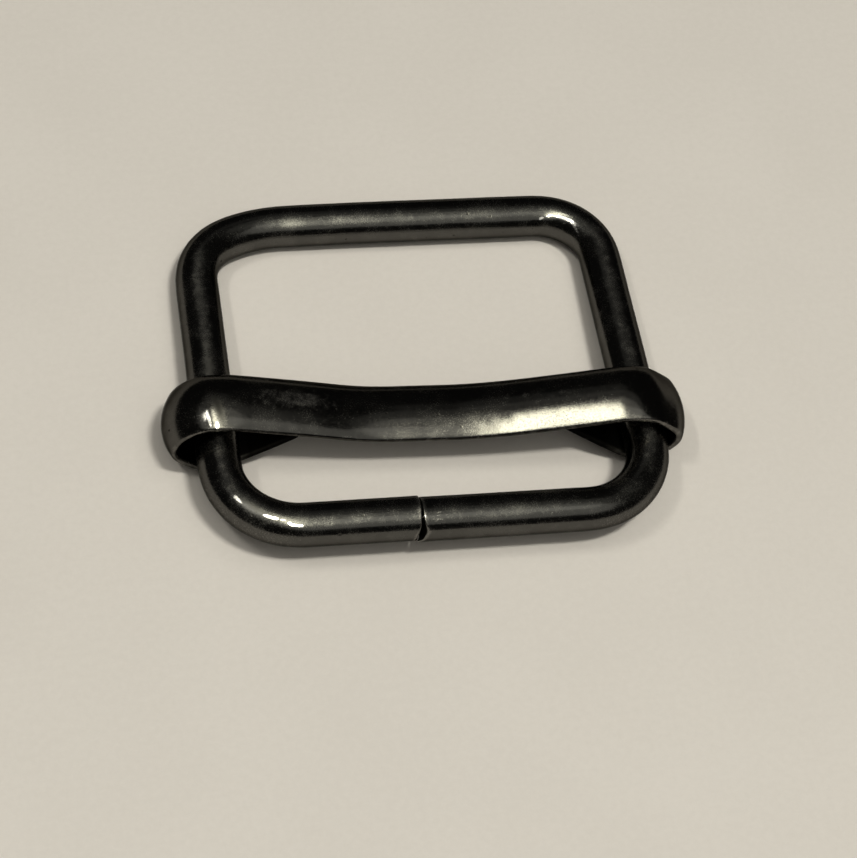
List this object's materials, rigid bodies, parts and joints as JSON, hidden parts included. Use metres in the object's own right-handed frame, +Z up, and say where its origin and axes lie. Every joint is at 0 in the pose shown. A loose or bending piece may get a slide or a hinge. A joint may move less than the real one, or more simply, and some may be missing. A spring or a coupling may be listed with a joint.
{
  "type": "strap slider",
  "caption": "Strap slider of dark nickel-plated steel: a bent round-wire ring with a butt joint, and a crowned sliding bar curled round its side rails.",
  "frame": {"origin": "on the table, below the centre of the bounding box, which is also the middle of the slide bar along X", "axes": "+X along the bars, +Y up the ring from the near bar (with the butt joint) to the far bar, +Z up from the table; the ring itself is tilted about X by 4 degrees, as it rests on the eyes"},
  "size_m": [0.0358, 0.0284, 0.0063],
  "materials": {
    "ring_plating": "black nickel plating, glossy, rubbed and mottled",
    "bar_plating": "black nickel plating, satin to glossy, scuffed and pitted"
  },
  "bodies": {
    "frame": {"frame": "ring_plating"},
    "slide_bar": {"slide_bar": "bar_plating"}
  },
  "joints": [
    {"name": "bar_slide", "type": "slide", "parent": "frame", "child": "slide_bar", "axis": [0, 0.9975, -0.0705], "range_m": [-0.003, 0.012]}
  ]
}
